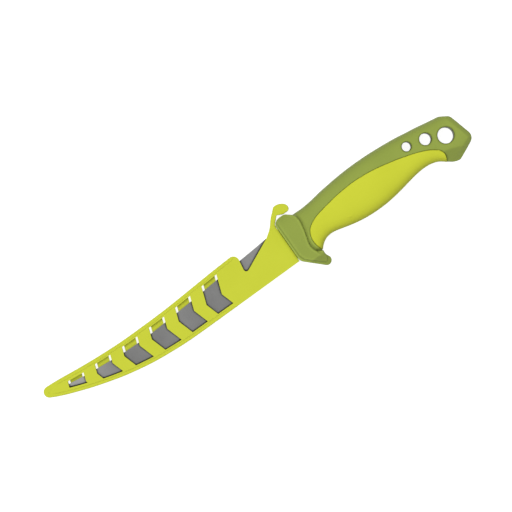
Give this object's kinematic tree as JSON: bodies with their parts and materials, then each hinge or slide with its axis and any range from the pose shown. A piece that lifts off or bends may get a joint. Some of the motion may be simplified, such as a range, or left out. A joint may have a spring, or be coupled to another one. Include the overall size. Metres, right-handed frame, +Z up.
{
  "type": "fillet knife",
  "caption": "Fillet knife with an upswept blade, a moulded handle with finger guard and soft grip, and a vented sheath whose hook snaps over the guard.",
  "frame": {"origin": "middle of the whole knife and sheath seen from above, on the surface that it lies on", "axes": "+X from the sheath's tip towards the butt, +Y towards the spine of the blade, +Z up from the surface, square to the flat of the blade"},
  "size_m": [0.2982, 0.0474, 0.023],
  "materials": {
    "blade_steel": "satin ground stainless steel",
    "core_plastic": "fine grained olive moulding",
    "grip_rubber": "soft lime overmould, matt",
    "sheath_plastic": "lime moulding, semi matt"
  },
  "bodies": {
    "knife": {"blade": "blade_steel", "handle_core": "core_plastic", "grip_overmould": "grip_rubber"},
    "sheath": {"sheath_front_shell": "sheath_plastic", "sheath_rear_shell": "sheath_plastic"},
    "latch": {"sheath_latch": "sheath_plastic"}
  },
  "joints": [
    {"name": "sheath_slide", "type": "slide", "parent": "knife", "child": "sheath", "axis": [-1, 0, 0], "range_m": [0, 0.18]},
    {"name": "latch_flex", "type": "hinge", "parent": "sheath", "child": "latch", "pos_m": [0.01686, 0.01315, 0.0115], "axis": [0, 0, 1], "range_deg": [0, 8], "stiffness_Nm_per_rad": 0.8}
  ]
}
